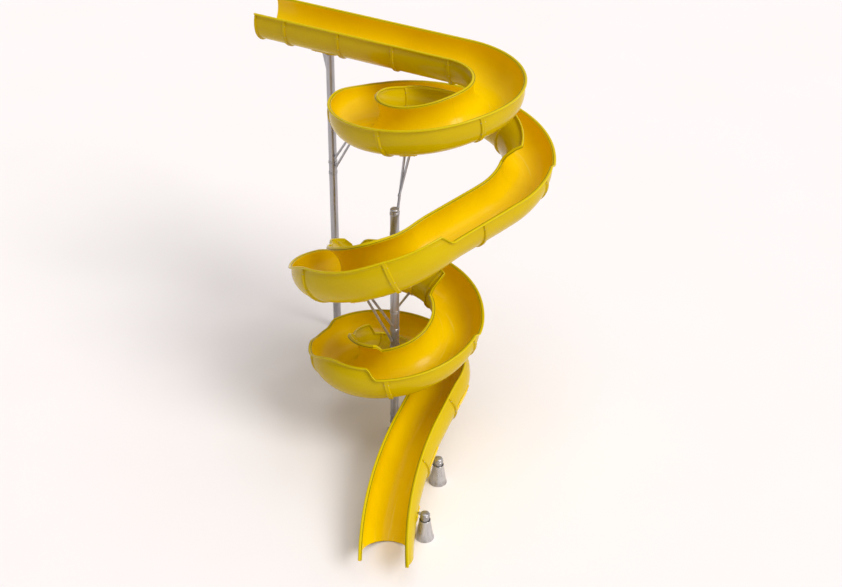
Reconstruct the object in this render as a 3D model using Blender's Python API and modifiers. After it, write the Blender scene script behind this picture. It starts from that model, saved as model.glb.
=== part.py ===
"""Open spiral body slide on steel columns, built as separate bolted pieces.

Metres, +Z up. The origin is the underside centre of the main column's base plate.
The flume runs from a short start piece along a straight, round one full loop, down a
middle straight, round two lower loops and out along a gently bending exit flume.
"""
import math

import bmesh
import bpy
from mathutils import Matrix, Vector

# ---------------------------------------------------------------- driving dimensions
GAP = 0.0003                       # clearance between touching pieces

# flume centreline: start of the floor, first heading, then one section after another
START_POINT = Vector((-2.54, 4.28, 6.645))
START_HEADING = math.radians(-25.1)
TOP_RUN = 4.14
TOP_SLOPE = 0.040
ENTRY_BEND = (math.radians(118.48), 1.177, 0.040)      # turn, radius, slope
LOOP_1_FRONT = (math.radians(178.61), 1.348, 0.186)
LOOP_1_LINK = 0.236
LOOP_1_BACK = (math.radians(177.14), 1.562, 0.190)
MIDDLE_RUN = 1.56
MIDDLE_SLOPE = 0.121
LOOP_2_FRONT = (math.radians(172.84), 1.335, 0.432)
LOOP_2_TURN = (math.radians(61.37), 1.224, 0.210)
LOOP_2_LINK = 0.180
LOOP_2_BACK = (math.radians(184.10), 1.224, 0.210)
LOOP_3 = (math.radians(277.3), 1.076, 0.149)
EXIT_RUN = 0.946
EXIT_SLOPE = 0.255
EXIT_BEND = (math.radians(-24.2), 7.12, 0.246)
SLOPE_BLEND = 0.30                 # half length over which the slope changes
PATH_STEP = 0.02

# flume section: part of a round tube, open at the top
TUBE_RADIUS = 0.46
SKIN = 0.012
LIP_WIDTH = 0.072
LIP_DEPTH = 0.038
ARC_STEP = math.radians(30.0)
FLANGE_OUT = 0.042
FLANGE_LENGTH = 0.022
FLANGE_FILLET = 0.008
BENDS_PER_PIECE = 4

# how far up each wall goes, as an angle measured from the bottom of the tube
LOW_WALL = math.radians(113.0)
HIGH_OUTER = math.radians(137.0)
MIDDLE_OUTER = math.radians(129.0)
BACK_OUTER = math.radians(102.0)
DIP_OUTER = math.radians(100.0)
LOWEST_OUTER = math.radians(86.0)
HIGH_INNER = math.radians(150.0)
HIGHEST_INNER = math.radians(168.0)
MIDDLE_INNER = math.radians(134.0)
STEP_LENGTH = 0.13                 # length of the S-shaped step between two heights

# joints between flume pieces, as piece lengths along the floor
START_LENGTH = 0.641
TOP_LENGTH = 1.150
ENTRY_LENGTH = 1.290
LOOP_1_LENGTH = 1.403
MIDDLE_LENGTH = 1.540
LOOP_2_LENGTH = 1.372
LOOP_3_LENGTH = 1.4667
EXIT_SQUARE_LENGTH = 1.01
EXIT_FLOOR_LENGTH = 1.34
EXIT_RIGHT_LENGTH = 2.13
EXIT_LEFT_LENGTH = 2.36

# supports
COLUMN_RADIUS = 0.084
COLUMN_WALL = 0.007
ROUND_SIDES = 24
MAIN_COLUMN = Vector((0.0, 0.0))
MAIN_HEIGHT = 5.16
LEFT_COLUMN = Vector((-1.27, 3.685))
LEFT_HEIGHT = 6.52
REAR_COLUMN = Vector((1.28, 1.45))
REAR_HEIGHT = 2.05
EXIT_COLUMN_1_OFFSET = 0.46
EXIT_COLUMN_2_OFFSET = 0.602
EXIT_COLUMN_1_AT = 33.29
EXIT_COLUMN_2_AT = 34.94
EXIT_HEIGHT = 0.560
EXIT_COLLAR_1 = 0.490
EXIT_COLLAR_2 = 0.520
BASE_PLATE = 0.28
SHROUDED_PLATE = 0.20
BASE_PLATE_THICKNESS = 0.022
CONE_BASE_RADIUS = 0.172
CONE_TOP_RADIUS = 0.104
CONE_HEIGHT = 0.43
CONE_WALL = 0.006
DOME_RISE = 0.030
SADDLE_THICKNESS = 0.014
SADDLE_LENGTH = 0.26
LONG_SADDLE = 0.50
SIDE_SADDLE_LENGTH = 0.48
TOP_SADDLE_AT = 1.37
LOOP_1_SADDLE_AT = 7.75
LEFT_SADDLE_AT = 10.45
LOOP_2_SADDLE_AT = 18.80
SIDE_SADDLE_AT = 22.98
REAR_SADDLE_AT = 24.26
BOTTOM_SADDLE_AT = 32.06
EXIT_SADDLE_1_AT = 33.50
EXIT_SADDLE_2_AT = 34.78
ARM_RADIUS = 0.026
ARM_SIDES = 12
ARM_SPREAD = 0.09
ARM_LIMIT = 0.80                   # how far along a saddle its arms may sit
COLLAR_HEIGHT = 0.060
COLLAR_WALL = 0.004
GUSSET_DROP = 0.36
GUSSET_REACH = 0.17
GUSSET_THICKNESS = 0.020

YELLOW = (1.0, 0.56, 0.004, 1.0)
STEEL = (0.33, 0.31, 0.30, 1.0)


# ---------------------------------------------------------------- scene and materials
for old in list(bpy.data.objects):
    bpy.data.objects.remove(old, do_unlink=True)

COLLECTION = bpy.data.collections.new("pool_slide")
bpy.context.scene.collection.children.link(COLLECTION)


def make_material(name, colour, metallic, roughness):
    material = bpy.data.materials.new(name)
    material.use_nodes = True
    shader = material.node_tree.nodes["Principled BSDF"]
    shader.inputs["Base Color"].default_value = colour
    shader.inputs["Metallic"].default_value = metallic
    shader.inputs["Roughness"].default_value = roughness
    material.diffuse_color = colour
    return material


FINISHES = {
    "gelcoat": (YELLOW, 0.0, 0.22),
    "painted_steel": (STEEL, 0.6, 0.42),
}


def add_object(name, mesh_source, finish, smooth=True):
    """Close a bmesh into a named object with its own material."""
    bmesh.ops.recalc_face_normals(mesh_source, faces=mesh_source.faces[:])
    bmesh.ops.triangulate(mesh_source, faces=[f for f in mesh_source.faces if len(f.verts) > 4])
    mesh = bpy.data.meshes.new(name)
    mesh_source.to_mesh(mesh)
    mesh_source.free()
    made = bpy.data.objects.new(name, mesh)
    COLLECTION.objects.link(made)
    colour, metallic, roughness = FINISHES[finish]
    mesh.materials.append(make_material(name + "_" + finish, colour, metallic, roughness))
    if smooth:
        mesh.shade_smooth()
        mesh.set_sharp_from_angle(angle=math.radians(35.0))
    return made


# ---------------------------------------------------------------- centreline
def section_list():
    """Every section as (length, heading change, slope)."""
    def bend(section):
        turn, radius, slope = section
        return abs(turn) * radius, -turn, slope

    return [
        (TOP_RUN, 0.0, TOP_SLOPE),
        bend(ENTRY_BEND),
        bend(LOOP_1_FRONT),
        (LOOP_1_LINK, 0.0, LOOP_1_BACK[2]),
        bend(LOOP_1_BACK),
        (MIDDLE_RUN, 0.0, MIDDLE_SLOPE),
        bend(LOOP_2_FRONT),
        bend(LOOP_2_TURN),
        (LOOP_2_LINK, 0.0, LOOP_2_BACK[2]),
        bend(LOOP_2_BACK),
        bend(LOOP_3),
        (EXIT_RUN, 0.0, EXIT_SLOPE),
        bend(EXIT_BEND),
    ]


SECTIONS = section_list()
PATH_LENGTH = sum(section[0] for section in SECTIONS)


def section_at(distance):
    passed = 0.0
    for section in SECTIONS:
        if distance < passed + section[0]:
            return section
        passed += section[0]
    return SECTIONS[-1]


def blended_slope(distance):
    """Mean slope over a short stretch, so the floor has no kinks."""
    samples = 12
    total = 0.0
    for i in range(samples):
        offset = SLOPE_BLEND * (2.0 * (i + 0.5) / samples - 1.0)
        total += section_at(min(max(distance + offset, 0.0), PATH_LENGTH))[2]
    return total / samples


def trace_centreline():
    points = []
    position = START_POINT.copy()
    heading = START_HEADING
    count = int(PATH_LENGTH / PATH_STEP) + 60
    for i in range(count):
        distance = i * PATH_STEP
        slope = blended_slope(distance)
        points.append((position.copy(), heading, slope))
        length, turn, _ = section_at(distance)
        middle = heading + 0.5 * turn * PATH_STEP / length
        position += Vector((math.cos(middle), math.sin(middle), -slope)) * PATH_STEP
        heading += turn * PATH_STEP / length
    return points


CENTRELINE = trace_centreline()


def frame_at(distance):
    """Floor point, forward, left and up directions at a distance along the flume."""
    place = distance / PATH_STEP
    index = min(max(int(math.floor(place)), 0), len(CENTRELINE) - 2)
    blend = place - index
    first = CENTRELINE[index]
    second = CENTRELINE[index + 1]
    point = first[0].lerp(second[0], blend)
    heading = first[1] + (second[1] - first[1]) * blend
    slope = first[2] + (second[2] - first[2]) * blend
    forward = Vector((math.cos(heading), math.sin(heading), -slope)).normalized()
    left = Vector((-math.sin(heading), math.cos(heading), 0.0))
    return point, forward, left, forward.cross(left)


# ---------------------------------------------------------------- wall heights
def stepped(distance, levels):
    """Wall angle from (start distance, step length, angle) levels with S-shaped steps."""
    angle = levels[0][2]
    for start, length, level in levels[1:]:
        t = min(max((distance - start) / length, 0.0), 1.0)
        angle += (level - angle) * t * t * (3.0 - 2.0 * t)
    return angle


OUTER_LEVELS = (
    (0.0, 1.0, LOW_WALL),
    (9.90, 0.80, BACK_OUTER),
    (14.70, STEP_LENGTH, LOW_WALL),
    (17.30, STEP_LENGTH, HIGH_OUTER),
    (18.10, 0.80, MIDDLE_OUTER),
    (19.40, 1.00, DIP_OUTER),
    (21.25, 0.60, LOWEST_OUTER),
    (21.97, STEP_LENGTH, LOW_WALL),
    (24.10, 0.70, BACK_OUTER),
    (24.88, STEP_LENGTH, LOW_WALL),
    (26.62, STEP_LENGTH, HIGH_OUTER),
    (27.30, 0.80, DIP_OUTER),
    (28.25, 0.40, LOWEST_OUTER),
    (28.86, STEP_LENGTH, BACK_OUTER),
    (30.70, 0.50, HIGH_OUTER),
)

INNER_LEVELS = (
    (0.0, 1.0, LOW_WALL),
    (7.60, 3.00, MIDDLE_INNER),
    (12.40, STEP_LENGTH, HIGHEST_INNER),
    (14.70, STEP_LENGTH, LOW_WALL),
    (17.40, 1.20, HIGH_INNER),
    (20.40, 0.40, HIGHEST_INNER),
    (21.17, STEP_LENGTH, LOW_WALL),
    (21.97, STEP_LENGTH, HIGHEST_INNER),
    (23.74, STEP_LENGTH, LOW_WALL),
    (26.62, STEP_LENGTH, HIGH_INNER),
    (27.86, STEP_LENGTH, MIDDLE_INNER),
    (29.00, STEP_LENGTH, LOW_WALL),
)

SADDLE_PLACES = (
    (TOP_SADDLE_AT, LONG_SADDLE),
    (LOOP_1_SADDLE_AT, SADDLE_LENGTH),
    (LEFT_SADDLE_AT, SADDLE_LENGTH),
    (LOOP_2_SADDLE_AT, SADDLE_LENGTH),
    (SIDE_SADDLE_AT, SADDLE_LENGTH),
    (REAR_SADDLE_AT, SADDLE_LENGTH),
    (BOTTOM_SADDLE_AT, SIDE_SADDLE_LENGTH),
    (EXIT_SADDLE_1_AT, SIDE_SADDLE_LENGTH),
)


def step_distances():
    """Stations needed to follow the wall steps and the ends of the saddles."""
    found = set()
    for levels in (OUTER_LEVELS, INNER_LEVELS):
        for start, length, _ in levels[1:]:
            found.update(round(start + length * part, 4) for part in (0.0, 0.5, 1.0))
    for centre, length in SADDLE_PLACES:
        found = {at for at in found if abs(at - centre) > 0.5 * length}
        found.update((round(centre - 0.5 * length, 4), round(centre + 0.5 * length, 4)))
    return sorted(found)


EXTRA_STATIONS = step_distances()


# ---------------------------------------------------------------- flume pieces
def arc_angles(inner_angle, outer_angle):
    """Angles round the section: fixed steps over the lower half, then up each wall."""
    half_turn = math.pi / 2.0
    steps = int(round(half_turn / ARC_STEP))
    lower = [ARC_STEP * i for i in range(-steps, steps + 1)]
    right = [-inner_angle, -0.5 * (half_turn + inner_angle)]
    left = [0.5 * (half_turn + outer_angle), outer_angle]
    return right + lower + left


def section_outline(inner_angle, outer_angle, thickness):
    """Closed outline (angle, radius, shift along the wall) of the flume section."""
    angles = arc_angles(inner_angle, outer_angle)
    outer = TUBE_RADIUS + thickness
    lip_edge = TUBE_RADIUS + LIP_WIDTH
    outline = [(angle, TUBE_RADIUS, 0.0) for angle in angles]
    outline.append((outer_angle, lip_edge, 0.0))
    outline.append((outer_angle, lip_edge, -LIP_DEPTH))
    outline.append((outer_angle, outer, -LIP_DEPTH))
    outline += [(angle, outer, 0.0) for angle in reversed(angles[1:-1])]
    outline.append((-inner_angle, outer, LIP_DEPTH))
    outline.append((-inner_angle, lip_edge, LIP_DEPTH))
    outline.append((-inner_angle, lip_edge, 0.0))
    return outline


def section_point(frame, angle, radius, rise):
    point, _, left, up = frame
    across = radius * math.sin(angle) + rise * math.cos(angle)
    height = TUBE_RADIUS - radius * math.cos(angle) + rise * math.sin(angle)
    return point + left * across + up * height


def loft_rings(rings):
    """Join rings of equal point counts into one closed solid."""
    mesh = bmesh.new()
    made = []
    for ring in rings:
        made.append([mesh.verts.new(point) for point in ring])
    count = len(made[0])
    for near, far in zip(made[:-1], made[1:]):
        for i in range(count):
            j = (i + 1) % count
            mesh.faces.new((near[i], near[j], far[j]))
            mesh.faces.new((near[i], far[j], far[i]))
    mesh.faces.new(made[0])
    mesh.faces.new(list(reversed(made[-1])))
    return mesh


def ring_at(distance, thickness):
    frame = frame_at(distance)
    outline = section_outline(stepped(distance, INNER_LEVELS), stepped(distance, OUTER_LEVELS), thickness)
    return [section_point(frame, angle, radius, rise) for angle, radius, rise in outline]


def flume_stations(first, last, bends):
    """(distance, outer thickness) pairs with a flange at both ends."""
    neck = FLANGE_LENGTH + FLANGE_FILLET
    stations = [(first, FLANGE_OUT), (first + FLANGE_LENGTH, FLANGE_OUT), (first + neck, SKIN)]
    extra = [at for at in EXTRA_STATIONS if first + neck < at < last - neck]
    inside = [first + (last - first) * i / bends for i in range(1, bends)]
    inside = [at for at in inside if all(abs(at - other) > 0.12 for other in extra)]
    for centre, length in SADDLE_PLACES:
        inside = [at for at in inside if abs(at - centre) > 0.5 * length]
    stations += [(at, SKIN) for at in sorted(extra + inside)]
    stations += [(last - neck, SKIN), (last - FLANGE_LENGTH, FLANGE_OUT), (last, FLANGE_OUT)]
    return stations


def add_flume(name, first, last, bends):
    """One flume piece between two joints. A loft, because the walls rise and fall along it."""
    stations = flume_stations(first + GAP / 2.0, last - GAP / 2.0, bends)
    rings = [ring_at(distance, thickness) for distance, thickness in stations]
    add_object(name, loft_rings(rings), "gelcoat")


def exit_reach(angle):
    """Length of the exit flume at an angle round it: the floor is short, the walls reach on."""
    wall, length = (HIGH_OUTER, EXIT_LEFT_LENGTH) if angle > 0.0 else (LOW_WALL, EXIT_RIGHT_LENGTH)
    share = (1.0 - math.cos(angle)) / (1.0 - math.cos(wall))
    return EXIT_FLOOR_LENGTH + (length - EXIT_FLOOR_LENGTH) * share


def add_exit_flume(name, first):
    """Last flume piece: its end is cut on a slant, the wall tops reach past the floor."""
    start = first + GAP / 2.0
    saddle_start = EXIT_SADDLE_2_AT - 0.5 * SADDLE_LENGTH
    rings = [
        ring_at(start, FLANGE_OUT),
        ring_at(start + FLANGE_LENGTH, FLANGE_OUT),
        ring_at(start + FLANGE_LENGTH + FLANGE_FILLET, SKIN),
        ring_at(0.5 * (start + saddle_start), SKIN),
        ring_at(saddle_start, SKIN),
        ring_at(saddle_start + SADDLE_LENGTH, SKIN),
    ]
    for part in (0.5, 1.0):
        ring = []
        for angle, radius, shift in section_outline(LOW_WALL, HIGH_OUTER, SKIN):
            reach = exit_reach(angle)
            distance = start + EXIT_SQUARE_LENGTH + (reach - EXIT_SQUARE_LENGTH) * part
            ring.append(section_point(frame_at(distance), angle, radius, shift))
        rings.append(ring)
    add_object(name, loft_rings(rings), "gelcoat")


def flume_plan():
    """Piece names with their start and end distances and number of bends."""
    lengths = [("start_flume", START_LENGTH, 1)]
    lengths += [("straight_flume_%d" % (i + 1), TOP_LENGTH, 1) for i in range(3)]
    lengths += [("entry_bend_%d" % (i + 1), ENTRY_LENGTH, BENDS_PER_PIECE) for i in range(2)]
    lengths += [("upper_loop_%d" % (i + 1), LOOP_1_LENGTH, BENDS_PER_PIECE) for i in range(6)]
    lengths += [("middle_flume_%d" % (i + 1), MIDDLE_LENGTH, BENDS_PER_PIECE) for i in range(2)]
    lengths += [("lower_loop_%d" % (i + 1), LOOP_2_LENGTH, BENDS_PER_PIECE) for i in range(5)]
    lengths += [("bottom_loop_%d" % (i + 1), LOOP_3_LENGTH, BENDS_PER_PIECE) for i in range(6)]
    plan = []
    at = 0.0
    for name, length, bends in lengths:
        plan.append((name, at, at + length, bends))
        at += length
    return plan


PLAN = flume_plan()
for piece_name, piece_start, piece_end, piece_bends in PLAN:
    add_flume(piece_name, piece_start, piece_end, piece_bends)
EXIT_START = PLAN[-1][2]
add_exit_flume("exit_flume", EXIT_START)


# ---------------------------------------------------------------- round and flat stock
def add_turned(name, place, profile, closed):
    """Turn a (radius, height) profile, outer side first and top to bottom, round the vertical."""
    outline = bmesh.new()
    verts = [outline.verts.new((radius, 0.0, height)) for radius, height in profile]
    for near, far in zip(verts[:-1], verts[1:]):
        outline.edges.new((near, far))
    if closed:
        outline.edges.new((verts[-1], verts[0]))
    mesh = bpy.data.meshes.new(name)
    outline.to_mesh(mesh)
    outline.free()
    made = bpy.data.objects.new(name, mesh)
    made.location = (place.x, place.y, 0.0)
    COLLECTION.objects.link(made)
    screw = made.modifiers.new("turn", "SCREW")
    screw.steps = ROUND_SIDES
    screw.render_steps = ROUND_SIDES
    screw.use_merge_vertices = True
    screw.merge_threshold = 0.00001
    screw.use_smooth_shade = True
    colour, metallic, roughness = FINISHES["painted_steel"]
    mesh.materials.append(make_material(name + "_painted_steel", colour, metallic, roughness))


def add_rod(name, first, last, radius):
    """Solid round bar between two points."""
    mesh = bmesh.new()
    along = last - first
    turn = Vector((0.0, 0.0, 1.0)).rotation_difference(along).to_matrix().to_4x4()
    bmesh.ops.create_cone(mesh, cap_ends=True, segments=ARM_SIDES, radius1=radius, radius2=radius,
                          depth=along.length, matrix=Matrix.Translation((first + last) / 2.0) @ turn)
    add_object(name, mesh, "painted_steel")


# ---------------------------------------------------------------- supports
def saddle_ring(frame, right_steps, left_steps):
    """Section of a saddle plate, on the same angles as the flume it cradles."""
    inner = TUBE_RADIUS + SKIN + GAP / math.cos(0.5 * ARC_STEP)
    outer = inner + SADDLE_THICKNESS
    angles = [ARC_STEP * i for i in range(left_steps, right_steps - 1, -1)]
    ring = [section_point(frame, angle, inner, 0.0) for angle in angles]
    ring += [section_point(frame, angle, outer, 0.0) for angle in reversed(angles)]
    return ring


def add_saddle(name, distance, right_steps, left_steps, length):
    """Curved plate that cradles the flume from below."""
    rings = [saddle_ring(frame_at(distance + length * part), right_steps, left_steps)
             for part in (-0.5, 0.5)]
    add_object(name, loft_rings(rings), "gelcoat")


def saddle_target(distance, steps, clearance, length, part=0.5):
    """Point off the outside of a saddle, on one of the edges of its plate."""
    radius = TUBE_RADIUS + SKIN + GAP / math.cos(0.5 * ARC_STEP) + SADDLE_THICKNESS + clearance
    ends = [section_point(frame_at(distance + length * at), ARC_STEP * steps, radius, 0.0)
            for at in (-0.5, 0.5)]
    return ends[0].lerp(ends[1], part)


def add_column(label, place, top, collars):
    """Pipe with a closed top and welded collars where its arms meet it, open onto its plate."""
    inner = COLUMN_RADIUS - COLUMN_WALL
    raised = COLUMN_RADIUS + COLLAR_WALL
    half = 0.5 * COLLAR_HEIGHT
    profile = [(0.0, top + DOME_RISE), (0.7 * COLUMN_RADIUS, top + 0.6 * DOME_RISE), (COLUMN_RADIUS, top)]
    for height in collars:
        profile.append((COLUMN_RADIUS, height + half))
        profile.append((raised, height + half))
        profile.append((raised, height - half))
        profile.append((COLUMN_RADIUS, height - half))
    bottom = BASE_PLATE_THICKNESS + GAP
    profile += [(COLUMN_RADIUS, bottom), (inner, bottom)]
    profile += [(inner, top - COLUMN_WALL), (0.0, top - COLUMN_WALL)]
    add_turned(label + "_column", place, profile, closed=False)


def add_base_plate(label, place, across):
    mesh = bmesh.new()
    centre = Vector((place.x, place.y, BASE_PLATE_THICKNESS / 2.0))
    bmesh.ops.create_cube(mesh, size=1.0, matrix=Matrix.Translation(centre)
                          @ Matrix.Diagonal((across, across, BASE_PLATE_THICKNESS, 1.0)))
    add_object(label + "_base_plate", mesh, "painted_steel", smooth=False)


def add_cone(label, place):
    """Conical shroud round the foot of an exit column."""
    profile = [
        (CONE_TOP_RADIUS, CONE_HEIGHT),
        (CONE_BASE_RADIUS, 0.0),
        (CONE_BASE_RADIUS - CONE_WALL, 0.0),
        (CONE_TOP_RADIUS - CONE_WALL, CONE_HEIGHT),
    ]
    add_turned(label + "_cone", place, profile, closed=True)


def add_arms(label, place, heights, distance, steps, length):
    """Round arms from the collars on a column up to a saddle."""
    middle = saddle_target(distance, steps, 0.0, length)
    outward = saddle_target(distance, steps, 1.0, length) - middle
    axis = saddle_target(distance, steps, 0.0, length, 1.0) - middle
    nearest = 0.5 + 0.5 * axis.dot(Vector((place.x, place.y, middle.z)) - middle) / axis.length_squared
    centre = min(max(nearest, 1.0 - ARM_LIMIT), ARM_LIMIT)
    for i, height in enumerate(heights):
        root = Vector((place.x, place.y, height))
        part = centre + ARM_SPREAD / length * (i - 0.5 * (len(heights) - 1))
        target = saddle_target(distance, steps, 0.0, length, part)
        along = (target - root).normalized()
        lean = math.sqrt(max(1.0 - along.dot(outward) ** 2, 0.0))
        tip = target + outward * (ARM_RADIUS * lean + 3.0 * GAP)
        along = (tip - root).normalized()
        flat = math.hypot(along.x, along.y)
        start = (COLUMN_RADIUS + COLLAR_WALL + GAP + ARM_RADIUS * abs(along.z)) / flat
        add_rod("%s_arm_%d" % (label, i + 1), root + along * start, tip, ARM_RADIUS)


def add_gusset(name, place, top, distance):
    """Triangular plate between a column's side and the long saddle above it."""
    _, forward, left, _ = frame_at(distance)
    back = Vector((-forward.x, -forward.y, 0.0)).normalized()
    under = saddle_target(distance, 0, 3.0 * GAP, LONG_SADDLE)
    at_column = Vector((place.x, place.y, top)) + back * (COLUMN_RADIUS + GAP)
    reach = Vector((place.x, place.y, 0.0)) + back * GUSSET_REACH
    reach.z = under.z
    corner = Vector((at_column.x, at_column.y, under.z))
    half = left * (0.5 * GUSSET_THICKNESS)
    outline = [corner, reach, at_column - Vector((0.0, 0.0, GUSSET_DROP))]
    rings = [[point + half * side for point in outline] for side in (-1.0, 1.0)]
    add_object(name, loft_rings(rings), "painted_steel", smooth=False)


def beside(distance, offset):
    point, _, left, _ = frame_at(distance)
    moved = point + left * offset
    return Vector((moved.x, moved.y))


EXIT_COLUMN_1 = beside(EXIT_COLUMN_1_AT, EXIT_COLUMN_1_OFFSET)
EXIT_COLUMN_2 = beside(EXIT_COLUMN_2_AT, EXIT_COLUMN_2_OFFSET)

# (name, place, height of the top, collar heights from the top down, width of the base plate)
COLUMNS = (
    ("main", MAIN_COLUMN, MAIN_HEIGHT, (5.08, 4.66, 2.95, 2.54, 2.15, 0.50, 0.30), BASE_PLATE),
    ("left", LEFT_COLUMN, LEFT_HEIGHT, (4.14, 3.89), BASE_PLATE),
    ("rear", REAR_COLUMN, REAR_HEIGHT, (1.93,), BASE_PLATE),
    ("exit_1", EXIT_COLUMN_1, EXIT_HEIGHT, (EXIT_COLLAR_1,), SHROUDED_PLATE),
    ("exit_2", EXIT_COLUMN_2, EXIT_HEIGHT, (EXIT_COLLAR_2,), SHROUDED_PLATE),
)
for label, place, top, collars, plate in COLUMNS:
    add_column(label, place, top, collars)
    add_base_plate(label, place, plate)
add_cone("exit_1", EXIT_COLUMN_1)
add_cone("exit_2", EXIT_COLUMN_2)

# (name, column, arm heights, saddle distance, saddle steps right and left, arm step, saddle length)
HOLDERS = (
    ("upper_loop_front", MAIN_COLUMN, (5.08, 4.66), LOOP_1_SADDLE_AT, -2, 1, 0, SADDLE_LENGTH),
    ("upper_loop_left", LEFT_COLUMN, (4.14, 3.89), LEFT_SADDLE_AT, -1, 2, 1, SADDLE_LENGTH),
    ("lower_loop_front", MAIN_COLUMN, (2.54, 2.15), LOOP_2_SADDLE_AT, -2, 1, 0, SADDLE_LENGTH),
    ("lower_loop_back", MAIN_COLUMN, (2.95,), SIDE_SADDLE_AT, -3, 1, -2, SADDLE_LENGTH),
    ("lower_loop_rear", REAR_COLUMN, (1.93,), REAR_SADDLE_AT, -1, 2, 1, SADDLE_LENGTH),
    ("bottom_loop", MAIN_COLUMN, (0.50, 0.30), BOTTOM_SADDLE_AT, -2, 3, -1, SIDE_SADDLE_LENGTH),
    ("exit_1", EXIT_COLUMN_1, (EXIT_COLLAR_1,), EXIT_SADDLE_1_AT, -1, 3, 1, SIDE_SADDLE_LENGTH),
    ("exit_2", EXIT_COLUMN_2, (EXIT_COLLAR_2,), EXIT_SADDLE_2_AT, -1, 3, 3, SADDLE_LENGTH),
)
for label, place, heights, distance, right, left, step, length in HOLDERS:
    add_saddle(label + "_saddle", distance, right, left, length)
    add_arms(label, place, heights, distance, step, length)
add_saddle("top_run_saddle", TOP_SADDLE_AT, -1, 1, LONG_SADDLE)
add_gusset("top_run_gusset", LEFT_COLUMN, LEFT_HEIGHT, TOP_SADDLE_AT)
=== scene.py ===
"""Looks of the pool slide: fine flume skins, dressed steelwork, materials, light and camera."""
import math

import bmesh
import bpy
from mathutils import Matrix, Vector


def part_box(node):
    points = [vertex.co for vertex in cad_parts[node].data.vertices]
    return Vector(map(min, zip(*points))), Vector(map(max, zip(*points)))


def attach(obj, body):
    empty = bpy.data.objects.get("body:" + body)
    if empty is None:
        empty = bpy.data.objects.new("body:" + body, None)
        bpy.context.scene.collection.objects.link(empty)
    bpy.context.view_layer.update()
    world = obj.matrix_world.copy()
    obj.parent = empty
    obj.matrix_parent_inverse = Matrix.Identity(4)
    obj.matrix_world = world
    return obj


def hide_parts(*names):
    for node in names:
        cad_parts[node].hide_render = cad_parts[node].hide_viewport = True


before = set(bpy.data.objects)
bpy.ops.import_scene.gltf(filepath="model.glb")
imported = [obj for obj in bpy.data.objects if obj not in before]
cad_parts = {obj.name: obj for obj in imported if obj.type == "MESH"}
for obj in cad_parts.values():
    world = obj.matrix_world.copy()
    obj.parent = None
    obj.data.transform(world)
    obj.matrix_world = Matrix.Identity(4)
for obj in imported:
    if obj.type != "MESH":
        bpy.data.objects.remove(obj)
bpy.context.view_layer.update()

# ---------------------------------------------------------------- the frame's driving sizes
START_POINT = Vector((-2.54, 4.28, 6.645))
START_HEADING = math.radians(-25.1)
SECTIONS = (                       # length, heading change, slope
    (4.14, 0.0, 0.040),
    (math.radians(118.48) * 1.177, -math.radians(118.48), 0.040),
    (math.radians(178.61) * 1.348, -math.radians(178.61), 0.186),
    (0.236, 0.0, 0.190),
    (math.radians(177.14) * 1.562, -math.radians(177.14), 0.190),
    (1.56, 0.0, 0.121),
    (math.radians(172.84) * 1.335, -math.radians(172.84), 0.432),
    (math.radians(61.37) * 1.224, -math.radians(61.37), 0.210),
    (0.180, 0.0, 0.210),
    (math.radians(184.10) * 1.224, -math.radians(184.10), 0.210),
    (math.radians(277.3) * 1.076, -math.radians(277.3), 0.149),
    (0.946, 0.0, 0.255),
    (math.radians(24.2) * 7.12, math.radians(24.2), 0.246),
)
PATH_LENGTH = sum(section[0] for section in SECTIONS)
SLOPE_BLEND = 0.30
PATH_STEP = 0.02

TUBE_RADIUS = 0.46
SKIN = 0.012
FLANGE_OUT = 0.042
FLANGE_LENGTH = 0.022
LOW_WALL = math.radians(113.0)
HIGH_OUTER = math.radians(137.0)
MIDDLE_OUTER = math.radians(129.0)
BACK_OUTER = math.radians(102.0)
DIP_OUTER = math.radians(100.0)
LOWEST_OUTER = math.radians(86.0)
HIGH_INNER = math.radians(150.0)
HIGHEST_INNER = math.radians(168.0)
MIDDLE_INNER = math.radians(134.0)
STEP_LENGTH = 0.13

START_LENGTH = 0.641
EXIT_SQUARE_LENGTH = 1.01
EXIT_FLOOR_LENGTH = 1.34
EXIT_RIGHT_LENGTH = 2.13
EXIT_LEFT_LENGTH = 2.36
JOINT_GAP = 0.0003

ALONG_STEP = 0.045                 # fine mesh spacing along the flume
ARC_POINTS = 44                    # and round it
# the bands below also pick out where the gelcoat gets painted shade
GROOVE_BAND = 3.0                  # added to the round coordinate in the rim's groove,
RIM_BAND = 6.0                     # on the rest of the rim
BACK_BAND = 9.0                    # and on the outer skin
BAND_SCALE = 0.1                   # brings the bands into a colour ramp's range
RIDE_EDGE = 0.16                   # round coordinate where the scuffed ride path ends
RIDE_CENTRE = 0.02                 # and inside which it is fully scuffed
SCUFF_ROUGHNESS = 0.12             # added where it is scuffed

OUTER_LEVELS = (
    (0.0, 1.0, LOW_WALL),
    (9.90, 0.80, BACK_OUTER),
    (14.70, STEP_LENGTH, LOW_WALL),
    (17.30, STEP_LENGTH, HIGH_OUTER),
    (18.10, 0.80, MIDDLE_OUTER),
    (19.40, 1.00, DIP_OUTER),
    (21.25, 0.60, LOWEST_OUTER),
    (21.97, STEP_LENGTH, LOW_WALL),
    (24.10, 0.70, BACK_OUTER),
    (24.88, STEP_LENGTH, LOW_WALL),
    (26.62, STEP_LENGTH, HIGH_OUTER),
    (27.30, 0.80, DIP_OUTER),
    (28.25, 0.40, LOWEST_OUTER),
    (28.86, STEP_LENGTH, BACK_OUTER),
    (30.70, 0.50, HIGH_OUTER),
)

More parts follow.
